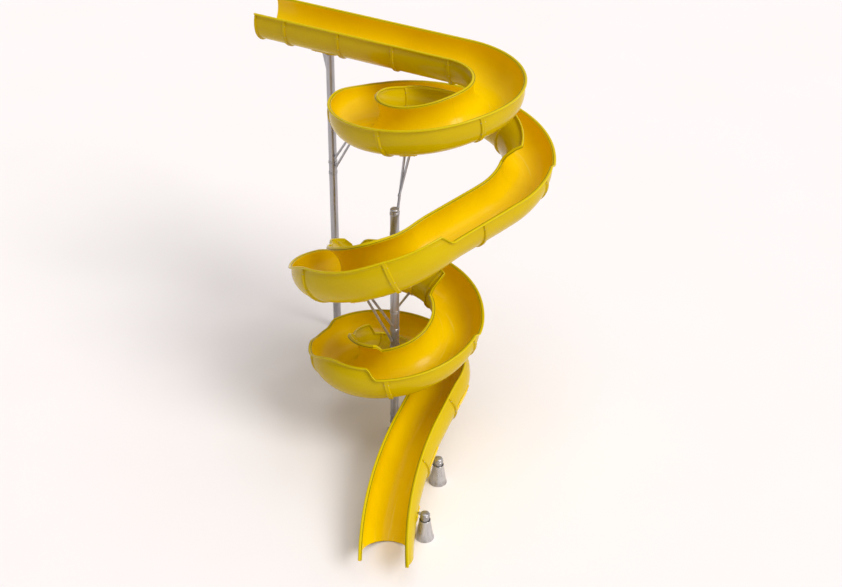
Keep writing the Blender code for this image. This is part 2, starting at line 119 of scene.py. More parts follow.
INNER_LEVELS = (
    (0.0, 1.0, LOW_WALL),
    (7.60, 3.00, MIDDLE_INNER),
    (12.40, STEP_LENGTH, HIGHEST_INNER),
    (14.70, STEP_LENGTH, LOW_WALL),
    (17.40, 1.20, HIGH_INNER),
    (20.40, 0.40, HIGHEST_INNER),
    (21.17, STEP_LENGTH, LOW_WALL),
    (21.97, STEP_LENGTH, HIGHEST_INNER),
    (23.74, STEP_LENGTH, LOW_WALL),
    (26.62, STEP_LENGTH, HIGH_INNER),
    (27.86, STEP_LENGTH, MIDDLE_INNER),
    (29.00, STEP_LENGTH, LOW_WALL),
)


def section_at(distance):
    passed = 0.0
    for section in SECTIONS:
        if distance < passed + section[0]:
            return section
        passed += section[0]
    return SECTIONS[-1]


def blended_slope(distance):
    """Mean slope over a short stretch, so the floor has no kinks."""
    samples = 12
    total = 0.0
    for i in range(samples):
        offset = SLOPE_BLEND * (2.0 * (i + 0.5) / samples - 1.0)
        total += section_at(min(max(distance + offset, 0.0), PATH_LENGTH))[2]
    return total / samples


def trace_centreline():
    """Floor centreline as (point, heading, slope), every PATH_STEP."""
    points = []
    position = START_POINT.copy()
    heading = START_HEADING
    for i in range(int(PATH_LENGTH / PATH_STEP) + 60):
        distance = i * PATH_STEP
        slope = blended_slope(distance)
        points.append((position.copy(), heading, slope))
        length, turn, _ = section_at(distance)
        middle = heading + 0.5 * turn * PATH_STEP / length
        position += Vector((math.cos(middle), math.sin(middle), -slope)) * PATH_STEP
        heading += turn * PATH_STEP / length
    return points


CENTRELINE = trace_centreline()


def frame_at(distance):
    """Floor point, forward, left and up directions at a distance along the flume."""
    place = distance / PATH_STEP
    index = min(max(int(math.floor(place)), 0), len(CENTRELINE) - 2)
    blend = place - index
    first = CENTRELINE[index]
    second = CENTRELINE[index + 1]
    point = first[0].lerp(second[0], blend)
    heading = first[1] + (second[1] - first[1]) * blend
    slope = first[2] + (second[2] - first[2]) * blend
    forward = Vector((math.cos(heading), math.sin(heading), -slope)).normalized()
    left = Vector((-math.sin(heading), math.cos(heading), 0.0))
    return point, forward, left, forward.cross(left)


def section_point(axes, angle, radius, shift=0.0):
    point, _, left, up = axes
    across = radius * math.sin(angle) + shift * math.cos(angle)
    height = TUBE_RADIUS - radius * math.cos(angle) + shift * math.sin(angle)
    return point + left * across + up * height


def stepped(distance, levels):
    """Wall angle from (start distance, step length, angle) levels with S-shaped steps."""
    angle = levels[0][2]
    for start, length, level in levels[1:]:
        t = min(max((distance - start) / length, 0.0), 1.0)
        angle += (level - angle) * t * t * (3.0 - 2.0 * t)
    return angle


# ---------------------------------------------------------------- materials
def new_material(name):
    """An empty node material with its Principled shader, and a helper that adds nodes."""
    material = bpy.data.materials.new(name)
    material.use_nodes = True
    tree = material.node_tree
    shader = tree.nodes["Principled BSDF"]

    def node(kind, **values):
        made = tree.nodes.new(kind)
        for key, value in values.items():
            if key in made.inputs:
                made.inputs[key].default_value = value
            else:
                setattr(made, key, value)
        return made

    return material, tree, shader, node


def mixed(tree, node, factor, first, second, blend="MIX"):
    """Colour mix; each of factor, first and second is a socket or a value."""
    mix = node("ShaderNodeMix", data_type="RGBA", blend_type=blend)
    for socket, value in ((mix.inputs[0], factor), (mix.inputs[6], first), (mix.inputs[7], second)):
        if isinstance(value, bpy.types.NodeSocket):
            tree.links.new(value, socket)
        else:
            socket.default_value = value
    return mix.outputs[2]


def ramp(tree, node, source, stops):
    made = node("ShaderNodeValToRGB")
    elements = made.color_ramp.elements
    while len(elements) < len(stops):
        elements.new(0.5)
    for element, (place, value) in zip(elements, stops):
        element.position = place
        element.color = (value, value, value, 1.0)
    tree.links.new(source, made.inputs[0])
    return made.outputs[0]


def gelcoat_material(name, scuffed_and_shaded):
    """Glossy yellow gelcoat: uneven tone, a polished and faintly scuffed ride path, fine ripple; the flume's
    version also has painted shade on the outer skin, the rolled rim and the rim's groove.
    """
    material, tree, shader, node = new_material(name)
    link = tree.links.new
    place = node("ShaderNodeTexCoord")
    broad = node("ShaderNodeTexNoise", Scale=0.9, Detail=3.0, Roughness=0.5)
    link(place.outputs["Object"], broad.inputs["Vector"])
    colour = mixed(tree, node, ramp(tree, node, broad.outputs[0], ((0.35, 0.0), (0.68, 1.0))),
                   GELCOAT_DEEP, GELCOAT_LIGHT)
    mottle = node("ShaderNodeTexNoise", Scale=34.0, Detail=5.0, Roughness=0.62)
    link(place.outputs["Object"], mottle.inputs["Vector"])
    spots = ramp(tree, node, mottle.outputs[0], ((0.52, 0.0), (0.80, 1.0)))
    colour = mixed(tree, node, spots, colour, GELCOAT_SPECK, "MULTIPLY")
    rough = ramp(tree, node, mottle.outputs[0], ((0.30, 0.17), (0.75, 0.27)))
    # scuffs on the ride path, and painted shade on the outer skin, the rim and its groove
    if scuffed_and_shaded:
        stretch = node("ShaderNodeMapping", vector_type="POINT")
        stretch.inputs["Scale"].default_value = (0.9, 46.0, 1.0)
        link(place.outputs["UV"], stretch.inputs["Vector"])
        streak = node("ShaderNodeTexNoise", Scale=1.0, Detail=6.0, Roughness=0.6)
        link(stretch.outputs[0], streak.inputs["Vector"])
        marks = ramp(tree, node, streak.outputs[0], ((0.56, 0.0), (0.78, 1.0)))
        split = node("ShaderNodeSeparateXYZ")
        link(place.outputs["UV"], split.inputs[0])
        ride = node("ShaderNodeMapRange")
        ride.inputs["From Min"].default_value = RIDE_EDGE
        ride.inputs["From Max"].default_value = RIDE_CENTRE
        away = node("ShaderNodeMath", operation="ABSOLUTE")
        link(split.outputs[1], away.inputs[0])
        link(away.outputs[0], ride.inputs["Value"])
        scuffed = node("ShaderNodeMath", operation="MULTIPLY")
        link(marks, scuffed.inputs[0])
        link(ride.outputs[0], scuffed.inputs[1])
        colour = mixed(tree, node, scuffed.outputs[0], colour, GELCOAT_SCUFF)
        rougher = node("ShaderNodeMath", operation="MULTIPLY_ADD")
        link(scuffed.outputs[0], rougher.inputs[0])
        rougher.inputs[1].default_value = SCUFF_ROUGHNESS
        link(rough, rougher.inputs[2])
        rough = rougher.outputs[0]
        band = node("ShaderNodeMath", operation="MULTIPLY")
        link(split.outputs[1], band.inputs[0])
        band.inputs[1].default_value = BAND_SCALE
        # painted shade: the outer skin's colour is multiplied darker and greener, standing in for the shade
        # on the flume's outer side and underside
        back = ramp(tree, node, band.outputs[0], ((0.74, 0.0), (0.80, 1.0)))
        shaded_back = mixed(tree, node, 1.0, colour, GELCOAT_BACK_SHADE, "MULTIPLY")
        colour = mixed(tree, node, back, colour, shaded_back)
        # painted shade: the rolled rim is coloured a darker olive, standing in for the shade on the lip
        rim = ramp(tree, node, band.outputs[0], ((0.44, 0.0), (0.52, 0.75), (0.72, 0.75), (0.80, 0.0)))
        colour = mixed(tree, node, rim, colour, GELCOAT_RIM_SHADE)
        # painted shade: the groove in the rim is coloured dark brown, standing in for the shade in the recess
        groove = ramp(tree, node, band.outputs[0], ((0.14, 0.0), (0.20, 1.0), (0.38, 1.0), (0.46, 0.0)))
        colour = mixed(tree, node, groove, colour, GELCOAT_GROOVE_SHADE)
    link(colour, shader.inputs["Base Color"])
    link(rough, shader.inputs["Roughness"])
    ripple = node("ShaderNodeTexNoise", Scale=7.0, Detail=2.0)
    link(place.outputs["Object"], ripple.inputs["Vector"])
    peel = node("ShaderNodeTexNoise", Scale=420.0, Detail=1.0)
    link(place.outputs["Object"], peel.inputs["Vector"])
    wave = node("ShaderNodeBump", Strength=0.10, Distance=0.010)
    link(ripple.outputs[0], wave.inputs["Height"])
    skin = node("ShaderNodeBump", Strength=0.05, Distance=0.0006)
    link(peel.outputs[0], skin.inputs["Height"])
    link(wave.outputs[0], skin.inputs["Normal"])
    link(skin.outputs[0], shader.inputs["Normal"])
    shader.inputs["Specular IOR Level"].default_value = 0.10
    shader.inputs["Coat Weight"].default_value = 0.08
    shader.inputs["Coat Roughness"].default_value = 0.16
    return material


def steel_material(name, base, dark, grime_height):
    """Satin painted steel: soft brush streaks, dulled patches, rust and splash dirt low down."""
    material, tree, shader, node = new_material(name)
    link = tree.links.new
    place = node("ShaderNodeTexCoord")
    stretch = node("ShaderNodeMapping")
    stretch.inputs["Scale"].default_value = (26.0, 26.0, 1.4)
    link(place.outputs["Object"], stretch.inputs["Vector"])
    streak = node("ShaderNodeTexNoise", Scale=1.0, Detail=6.0, Roughness=0.6)
    link(stretch.outputs[0], streak.inputs["Vector"])
    tone = ramp(tree, node, streak.outputs[0], ((0.35, 0.0), (0.70, 1.0)))
    colour = mixed(tree, node, tone, dark, base)
    patch = node("ShaderNodeTexNoise", Scale=5.5, Detail=8.0, Roughness=0.7)
    link(place.outputs["Object"], patch.inputs["Vector"])
    split = node("ShaderNodeSeparateXYZ")
    link(place.outputs["Object"], split.inputs[0])
    low = node("ShaderNodeMapRange")
    low.inputs["From Min"].default_value = grime_height
    low.inputs["From Max"].default_value = 0.0
    link(split.outputs[2], low.inputs["Value"])
    dirt = node("ShaderNodeMath", operation="MULTIPLY")
    link(low.outputs[0], dirt.inputs[0])
    link(ramp(tree, node, patch.outputs[0], ((0.42, 0.0), (0.62, 0.7))), dirt.inputs[1])
    colour = mixed(tree, node, dirt.outputs[0], colour, STEEL_DIRT)
    chips = ramp(tree, node, patch.outputs[0], ((0.76, 0.0), (0.79, 1.0)))
    colour = mixed(tree, node, chips, colour, STEEL_RUST)
    link(colour, shader.inputs["Base Color"])
    link(ramp(tree, node, streak.outputs[0], ((0.30, 0.24), (0.75, 0.38))), shader.inputs["Roughness"])
    bump = node("ShaderNodeBump", Strength=0.12, Distance=0.0015)
    link(patch.outputs[0], bump.inputs["Height"])
    link(bump.outputs[0], shader.inputs["Normal"])
    shader.inputs["Metallic"].default_value = 0.75
    return material


def bolt_material():
    material, tree, shader, node = new_material("zinc_bolts")
    link = tree.links.new
    place = node("ShaderNodeTexCoord")
    grain = node("ShaderNodeTexNoise", Scale=60.0, Detail=6.0)
    link(place.outputs["Object"], grain.inputs["Vector"])
    tone = ramp(tree, node, grain.outputs[0], ((0.35, 0.0), (0.70, 1.0)))
    link(mixed(tree, node, tone, ZINC_DARK, ZINC_LIGHT), shader.inputs["Base Color"])
    link(ramp(tree, node, grain.outputs[0], ((0.30, 0.30), (0.75, 0.52))), shader.inputs["Roughness"])
    shader.inputs["Metallic"].default_value = 0.9
    return material


def floor_material():
    material, tree, shader, node = new_material("pale_floor")
    place = node("ShaderNodeTexCoord")
    grain = node("ShaderNodeTexNoise", Scale=0.35, Detail=4.0)
    tree.links.new(place.outputs["Object"], grain.inputs["Vector"])
    colour = mixed(tree, node, grain.outputs[0], FLOOR_DARK, FLOOR_LIGHT)
    tree.links.new(colour, shader.inputs["Base Color"])
    shader.inputs["Roughness"].default_value = 0.9
    shader.inputs["Specular IOR Level"].default_value = 0.1
    return material


GELCOAT_DEEP = (0.85, 0.575, 0.0, 1.0)
GELCOAT_LIGHT = (0.91, 0.64, 0.0, 1.0)
# painted shade multiplied into the gelcoat on the outer skin
GELCOAT_BACK_SHADE = (0.68, 0.70, 1.0, 1.0)
# painted shade colour for the rolled rim
GELCOAT_RIM_SHADE = (0.56, 0.46, 0.0, 1.0)
GELCOAT_SPECK = (0.95, 0.94, 0.80, 1.0)
GELCOAT_SCUFF = (0.88, 0.68, 0.07, 1.0)
# painted shade colour for the rim's groove
GELCOAT_GROOVE_SHADE = (0.24, 0.16, 0.0, 1.0)
STEEL_BASE = (0.48, 0.475, 0.50, 1.0)
STEEL_DARK = (0.36, 0.355, 0.375, 1.0)
STEEL_DIRT = (0.17, 0.135, 0.10, 1.0)
STEEL_RUST = (0.16, 0.07, 0.03, 1.0)
SHROUD_BASE = (0.64, 0.63, 0.64, 1.0)
SHROUD_DARK = (0.46, 0.45, 0.46, 1.0)
ZINC_DARK = (0.30, 0.29, 0.27, 1.0)
ZINC_LIGHT = (0.62, 0.62, 0.60, 1.0)
FLOOR_DARK = (0.90, 0.865, 0.87, 1.0)
FLOOR_LIGHT = (0.93, 0.90, 0.90, 1.0)
COLUMN_GRIME = 1.2                 # height up to which the splash dirt reaches
ARM_GRIME = 0.2
SHROUD_GRIME = 0.12

FLUME_PAINT = gelcoat_material("yellow_gelcoat", scuffed_and_shaded=True)
SADDLE_PAINT = gelcoat_material("yellow_gelcoat_saddles", scuffed_and_shaded=False)
COLUMN_PAINT = steel_material("grey_brown_steel", STEEL_BASE, STEEL_DARK, COLUMN_GRIME)
ARM_PAINT = steel_material("grey_brown_arms", STEEL_BASE, STEEL_DARK, ARM_GRIME)
BOLT_METAL = bolt_material()


# ---------------------------------------------------------------- mesh helpers
def add_piece(name, mesh_source, material, nodes=(), sharp=40.0):
    """Turn a bmesh into a piece of the root body, standing for the given nodes."""
    bmesh.ops.recalc_face_normals(mesh_source, faces=mesh_source.faces[:])
    mesh = bpy.data.meshes.new(name)
    mesh_source.to_mesh(mesh)
    mesh_source.free()
    mesh.materials.append(material)
    mesh.shade_smooth()
    mesh.set_sharp_from_angle(angle=math.radians(sharp))
    piece = bpy.data.objects.new(name, mesh)
    bpy.context.scene.collection.objects.link(piece)
    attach(piece, "root")
    if nodes:
        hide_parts(*nodes)
    return piece


def bridge(mesh, rings, closed_round=True, caps=True, uvs=None):
    """Quads between rings of equal point counts; uvs gives (along, round) per ring and point."""
    layer = mesh.loops.layers.uv.verify() if uvs else None
    made = [[mesh.verts.new(point) for point in ring] for ring in rings]
    count = len(made[0])
    last = count if closed_round else count - 1
    for k in range(len(made) - 1):
        for i in range(last):
            j = (i + 1) % count
            face = mesh.faces.new((made[k][i], made[k][j], made[k + 1][j], made[k + 1][i]))
            if layer:
                corners = ((k, i), (k, j), (k + 1, j), (k + 1, i))
                for loop, (row, column) in zip(face.loops, corners):
                    loop[layer].uv = uvs[row][column]
    if caps:
        mesh.faces.new(made[0])
        mesh.faces.new(list(reversed(made[-1])))
    return made


def turned(mesh, profile, matrix, sides=64):
    """Turn a (radius, height) outline, first and last points on the axis or closed, round local Z."""
    rings = []
    for i in range(sides):
        angle = 2.0 * math.pi * i / sides
        rings.append([matrix @ Vector((radius * math.cos(angle), radius * math.sin(angle), height))
                      for radius, height in profile])
    made = [[mesh.verts.new(point) for point in ring] for ring in rings]
    count = len(profile)
    for k in range(sides):
        for i in range(count - 1):
            near = made[k]
            far = made[(k + 1) % sides]
            mesh.faces.new((near[i], near[i + 1], far[i + 1], far[i]))
    bmesh.ops.remove_doubles(mesh, verts=[v for ring in made for v in ring], dist=0.000002)


def along_matrix(origin, direction):
    turn = Vector((0.0, 0.0, 1.0)).rotation_difference(direction).to_matrix().to_4x4()
    return Matrix.Translation(origin) @ turn


def hex_bolt(mesh, origin, direction, across=0.017, height=0.009, stud=0.0):
    """Chamfered hexagon head on a washer, with an optional stud end."""
    matrix = along_matrix(origin, direction)
    radius = 0.5 * across
    turned(mesh, [(0.0, 0.0), (radius * 1.45, 0.0), (radius * 1.45, 0.002), (0.0, 0.002)], matrix, 20)
    corners = [(0.0, 0.002), (radius * 1.15, 0.002), (radius * 1.15, 0.8 * height),
               (radius * 0.95, height), (0.0, height)]
    turned(mesh, corners, matrix, 6)
    if stud:
        turned(mesh, [(0.0, height), (0.5 * radius, height), (0.5 * radius, height + stud - 0.002),
                      (0.36 * radius, height + stud), (0.0, height + stud)], matrix, 14)


# ---------------------------------------------------------------- flume skins
# Rolled rim as (radius beyond the inner face, shift along the wall, in the groove).
LIP = (
    (0.002, -0.0060, False), (0.007, -0.0012, False), (0.014, 0.0, False), (0.0165, -0.0015, True),
    (0.0185, -0.0065, True), (0.0240, -0.0065, True), (0.0260, -0.0015, True), (0.0285, 0.0, False),
    (0.044, 0.0, False), (0.057, -0.0014, False), (0.0665, -0.0060, False), (0.0712, -0.0130, False),
    (0.0715, -0.0240, False), (0.0680, -0.0325, False), (0.0600, -0.0375, False),
    (0.0430, -0.0378, False), (0.0240, -0.0382, False), (0.0150, -0.0420, False),
)
INNER_EDGE = 0.010 / TUBE_RADIUS   # angle left to the rim on the inner face
OUTER_EDGE = 0.046 / TUBE_RADIUS   # and on the outer face
LIP_FOOT = -0.0379                 # shift below which the rim has met the skin
FLANGE_EDGE = 0.008                # length of a flange's rounded shoulder
FLANGE_LEAD = 0.005                # length of the easing right at a joint
FLANGE_EASE = 0.004
SEAM_EASE = 0.0022
JOINT_OFFSETS = (0.0, 0.0015, 0.004, 0.009, 0.016, 0.022, 0.0245, 0.027, 0.0295, 0.034)
EXIT_STEPS = 14


def fine_section(inner_angle, outer_angle, thickness, relief):
    """Closed outline (angle, radius, shift, round coordinate) of the flume's skin."""
    inner = TUBE_RADIUS + relief
    outer = TUBE_RADIUS + thickness
    span = inner_angle + outer_angle
    rim = [(TUBE_RADIUS + max(out, thickness if shift < LIP_FOOT else 0.0), shift,
            GROOVE_BAND if grooved else RIM_BAND) for out, shift, grooved in LIP]
    outline = []
    for i in range(ARC_POINTS + 1):
        angle = -inner_angle + INNER_EDGE + (span - 2.0 * INNER_EDGE) * i / ARC_POINTS
        outline.append((angle, inner, 0.0, angle / (2.0 * math.pi)))
    outline += [(outer_angle, radius, shift, band) for radius, shift, band in rim]
    for i in range(ARC_POINTS + 1):
        angle = outer_angle - OUTER_EDGE - (span - 2.0 * OUTER_EDGE) * i / ARC_POINTS
        outline.append((angle, outer, 0.0, BACK_BAND + angle / (2.0 * math.pi)))
    outline += [(-inner_angle, radius, -shift, band) for radius, shift, band in reversed(rim)]
    return outline


def flange_profile(offset):
    """Skin thickness at a distance from a joint: a raised band with rounded shoulders."""
    if offset >= FLANGE_LENGTH + FLANGE_EDGE:
        return SKIN
    if offset <= 0.0:
        return FLANGE_OUT - FLANGE_EASE
    t = min(max((FLANGE_LENGTH + FLANGE_EDGE - offset) / FLANGE_EDGE, 0.0), 1.0)
    rise = math.sqrt(max(1.0 - (1.0 - t) ** 2, 0.0))
    lead = min(offset / FLANGE_LEAD, 1.0)
    return SKIN + (FLANGE_OUT - SKIN) * rise - FLANGE_EASE * (1.0 - lead) ** 2


def seam_relief(offset):
    """How far the inner face is eased back right at a joint."""
    return SEAM_EASE * max(1.0 - offset / FLANGE_LEAD, 0.0) ** 2


def flume_distances(first, last):
    """Fine stations: close together at both flanges, even in between."""
    start = [first + offset for offset in JOINT_OFFSETS]
    stop = [last - offset for offset in reversed(JOINT_OFFSETS)]
    inside_first, inside_last = start[-1], stop[0]
    count = max(int(round((inside_last - inside_first) / ALONG_STEP)), 2)
    middle = [inside_first + (inside_last - inside_first) * i / count for i in range(1, count)]
    return start + middle + stop


def flume_ring(distance, offset):
    axes = frame_at(distance)
    inner_angle = stepped(distance, INNER_LEVELS)
    outer_angle = stepped(distance, OUTER_LEVELS)
    outline = fine_section(inner_angle, outer_angle, flange_profile(offset), seam_relief(offset))
    ring = [section_point(axes, angle, radius, shift) for angle, radius, shift, _ in outline]
    return ring, [(distance, around) for _, _, _, around in outline]


def add_flume(name, first, last):
    rings = []
    uvs = []
    first += 0.5 * JOINT_GAP
    last -= 0.5 * JOINT_GAP
    for distance in flume_distances(first, last):
        ring, uv = flume_ring(distance, min(distance - first, last - distance))
        rings.append(ring)
        uvs.append(uv)
    mesh = bmesh.new()
    bridge(mesh, rings, uvs=uvs)
    add_piece(name + "_skin", mesh, FLUME_PAINT, (name,))


def exit_reach(angle):
    """Length of the exit flume at an angle round it: the floor is short, the walls reach on."""
    wall, length = (HIGH_OUTER, EXIT_LEFT_LENGTH) if angle > 0.0 else (LOW_WALL, EXIT_RIGHT_LENGTH)
    share = (1.0 - math.cos(angle)) / (1.0 - math.cos(wall))
    return EXIT_FLOOR_LENGTH + (length - EXIT_FLOOR_LENGTH) * share


def add_exit(name, first):
    """The last flume runs square to its last saddle, then its end rakes back up the walls."""
    first += 0.5 * JOINT_GAP
    rings = []
    uvs = []
    square = EXIT_SQUARE_LENGTH
    begin = JOINT_OFFSETS[-1]
    count = int(round((square - begin) / ALONG_STEP))
    offsets = list(JOINT_OFFSETS)
    offsets += [begin + (square - begin) * i / count for i in range(1, count + 1)]
    for offset in offsets:
        ring, uv = flume_ring(first + offset, offset)
        rings.append(ring)
        uvs.append(uv)
    outline = fine_section(LOW_WALL, HIGH_OUTER, SKIN, 0.0)
    for k in range(1, EXIT_STEPS + 1):
        part = k / EXIT_STEPS
        ring = []
        uv = []
        for angle, radius, shift, around in outline:
            distance = first + square + (exit_reach(angle) - square) * part
            ring.append(section_point(frame_at(distance), angle, radius, shift))
            uv.append((distance, around))
        rings.append(ring)
        uvs.append(uv)
    mesh = bmesh.new()
    bridge(mesh, rings, uvs=uvs)
    add_piece(name + "_skin", mesh, FLUME_PAINT, (name,))


def flume_plan():
    lengths = [("start_flume", START_LENGTH)]
    families = (("straight_flume", 3, 1.150), ("entry_bend", 2, 1.290), ("upper_loop", 6, 1.403),
                ("middle_flume", 2, 1.540), ("lower_loop", 5, 1.372), ("bottom_loop", 6, 1.4667))
    for family, count, length in families:
        lengths += [("%s_%d" % (family, i + 1), length) for i in range(count)]
    plan = []
    at = 0.0
    for name, length in lengths:
        plan.append((name, at, at + length))
        at += length
    return plan


PLAN = flume_plan()
for flume_name, flume_start, flume_end in PLAN:
    add_flume(flume_name, flume_start, flume_end)
add_exit("exit_flume", PLAN[-1][2])


FLANGE_BOLTS = 8
FLANGE_BOLT_MARGIN = 0.26          # angle from the rim to the nearest bolt


def add_flange_bolts():
    """Bolt heads on both sides of every flange pair."""
    mesh = bmesh.new()
    for _, _, joint in PLAN:
        inner_angle = stepped(joint, INNER_LEVELS)
        outer_angle = stepped(joint, OUTER_LEVELS)
        span = inner_angle + outer_angle - 2.0 * FLANGE_BOLT_MARGIN
        for side in (-1.0, 1.0):
            distance = joint + side * (FLANGE_LENGTH + 0.0068)
            axes = frame_at(distance)
            for i in range(FLANGE_BOLTS):
                angle = -inner_angle + FLANGE_BOLT_MARGIN + span * i / (FLANGE_BOLTS - 1)
                origin = section_point(axes, angle, TUBE_RADIUS + 0.5 * (SKIN + FLANGE_OUT) + 0.002)
                hex_bolt(mesh, origin - axes[1] * (0.006 * side), axes[1] * side, 0.015, 0.010)
    add_piece("flange_bolts", mesh, BOLT_METAL)


add_flange_bolts()


# ---------------------------------------------------------------- saddles
SADDLE_THICKNESS = 0.014
SADDLE_CLEARANCE = 0.0008
SADDLE_SOFTENING = 0.004
SADDLE_STEPS = 26
SADDLE_LENGTH = 0.26
LONG_SADDLE = 0.48
TOP_SADDLE = 0.50
SADDLES = (                        # name, distance, right and left reach, length
    ("upper_loop_front_saddle", 7.75, -60.0, 30.0, SADDLE_LENGTH),
    ("upper_loop_left_saddle", 10.45, -30.0, 60.0, SADDLE_LENGTH),
    ("lower_loop_front_saddle", 18.80, -60.0, 30.0, SADDLE_LENGTH),
    ("lower_loop_back_saddle", 22.98, -90.0, 30.0, SADDLE_LENGTH),
    ("lower_loop_rear_saddle", 24.26, -30.0, 60.0, SADDLE_LENGTH),
    ("bottom_loop_saddle", 32.06, -60.0, 90.0, LONG_SADDLE),
    ("exit_1_saddle", 33.50, -30.0, 90.0, LONG_SADDLE),
    ("exit_2_saddle", 34.78, -30.0, 90.0, SADDLE_LENGTH),
    ("top_run_saddle", 1.37, -30.0, 30.0, TOP_SADDLE),
)


def add_saddle(name, distance, right, left, length):
    """Curved cradle plate with softened edges and a bolt near each corner."""
    inner = TUBE_RADIUS + SKIN + SADDLE_CLEARANCE
    outer = inner + SADDLE_THICKNESS
    soft = SADDLE_SOFTENING
    right, left = math.radians(right), math.radians(left)
    stations = ((-0.5, True), (-0.5, False), (-0.25, False), (0.0, False), (0.25, False), (0.5, False),
                (0.5, True))
    rings = []
    for along, at_end in stations:
        inset = soft if at_end else 0.0
        shift = math.copysign(soft, along) if not at_end and abs(along) == 0.5 else 0.0
        axes = frame_at(distance + along * length - shift)
        low, high = inner + 0.35 * inset, outer - inset
        edge = inset / inner
        span = left - right - 2 * edge
        ring = [section_point(axes, right + edge + span * i / SADDLE_STEPS, low)
                for i in range(SADDLE_STEPS + 1)]
        ring += [section_point(axes, left - edge - 0.006 - (span - 0.012) * i / SADDLE_STEPS, high)
                 for i in range(SADDLE_STEPS + 1)]
        rings.append(ring)
    mesh = bmesh.new()
    bridge(mesh, rings)
    add_piece(name + "_plate", mesh, SADDLE_PAINT, (name,))
    bolts = bmesh.new()
    for along in (-0.34, 0.34):
        axes = frame_at(distance + along * length)
        for angle in (right + 0.10, left - 0.10):
            outward = section_point(axes, angle, 1.0) - section_point(axes, angle, 0.0)
            hex_bolt(bolts, section_point(axes, angle, outer - 0.001), outward, 0.019, 0.010)
    add_piece(name + "_bolts", bolts, BOLT_METAL)


for saddle in SADDLES:
    add_saddle(*saddle)


# ---------------------------------------------------------------- steelwork
COLUMN_RADIUS = 0.084
COLUMN_WALL = 0.007
COLLAR_WALL = 0.004
COLLAR_HEIGHT = 0.060
DOME_RISE = 0.030
BASE_PLATE_THICKNESS = 0.022
PLATE_GAP = 0.0003
WELD_RISE = 0.0012
ANCHOR_INSET = 0.045
CONE_TOP = 0.104
CONE_WALL = 0.006
COLUMNS = (                        # name, collar heights from the top down, has a bolted base plate
    ("main", (5.08, 4.66, 2.95, 2.54, 2.15, 0.50, 0.30), True),
    ("left", (4.14, 3.89), True),
    ("rear", (1.93,), True),
    ("exit_1", (0.490,), False),
    ("exit_2", (0.520,), False),
)
ARMS = (
    "upper_loop_front_arm_1", "upper_loop_front_arm_2", "upper_loop_left_arm_1", "upper_loop_left_arm_2",
    "lower_loop_front_arm_1", "lower_loop_front_arm_2", "lower_loop_back_arm_1", "lower_loop_rear_arm_1",
    "bottom_loop_arm_1", "bottom_loop_arm_2", "exit_1_arm_1", "exit_2_arm_1",
)


def middle_of(node):
    low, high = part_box(node)
    return Vector((0.5 * (low[0] + high[0]), 0.5 * (low[1] + high[1]), 0.0))


def add_column(label, collars):
    """Pipe with a welded dome, weld beads and rounded clamp collars."""
    node = label + "_column"
    place = middle_of(node)
    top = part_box(node)[1][2] - DOME_RISE
    radius = COLUMN_RADIUS
    outline = [(0.0, top + DOME_RISE)]
    outline += [(radius * math.sin(a), top + DOME_RISE * math.cos(a))
                for a in (math.radians(12.0 * i) for i in range(1, 8))]
    outline += [(radius, top), (radius + WELD_RISE, top - 0.003), (radius + WELD_RISE, top - 0.009),
                (radius, top - 0.012)]
    for height in collars:
        high, low = height + 0.5 * COLLAR_HEIGHT, height - 0.5 * COLLAR_HEIGHT
        raised = radius + COLLAR_WALL
        outline += [(radius, high + 0.004), (radius + 0.004, high), (raised - 0.003, high),
                    (raised, high - 0.003), (raised, height + 0.003), (raised - 0.002, height),
                    (raised, height - 0.003), (raised, low + 0.003),
                    (raised - 0.003, low), (radius + 0.004, low), (radius, low - 0.004)]
    foot = BASE_PLATE_THICKNESS + PLATE_GAP
    inside = radius - COLUMN_WALL
    outline += [(radius, foot + 0.012), (radius + 0.007, foot + 0.006), (radius + 0.009, foot),
                (inside, foot), (inside, top - COLUMN_WALL), (0.0, top - COLUMN_WALL)]
    mesh = bmesh.new()
    turned(mesh, outline, Matrix.Translation(place))
    add_piece(label + "_pipe", mesh, COLUMN_PAINT, (node,))
    bolts = bmesh.new()
    for height in collars:
        for side in (-1.0, 1.0):
            for turn in (0.3, 0.3 + math.pi):
                outward = Vector((math.cos(turn), math.sin(turn), 0.0))
                origin = place + outward * (radius + COLLAR_WALL - 0.001)
                hex_bolt(bolts, origin + Vector((0.0, 0.0, height + side * 0.018)), outward, 0.016, 0.009)
    add_piece(label + "_collar_bolts", bolts, BOLT_METAL)


def plate_mesh(mesh, low, high, soft):
    """Box with rounded vertical corners and a softened top edge."""
    radius = 0.018
    levels = ((low[2], 0.0), (high[2] - soft, 0.0), (high[2] - 0.3 * soft, 0.3 * soft), (high[2], soft))
    rings = []
    for height, inset in levels:
        ring = []
        for cx, cy, first in ((high[0], high[1], 0.0), (low[0], high[1], 90.0),
                              (low[0], low[1], 180.0), (high[0], low[1], 270.0)):
            sx = -1.0 if cx == high[0] else 1.0
            sy = -1.0 if cy == high[1] else 1.0
            for i in range(6):
                angle = math.radians(first + 18.0 * i)
                reach = radius - inset
                ring.append(Vector((cx + sx * radius + reach * math.cos(angle),
                                    cy + sy * radius + reach * math.sin(angle), height)))
        rings.append(ring)
    bridge(mesh, rings)


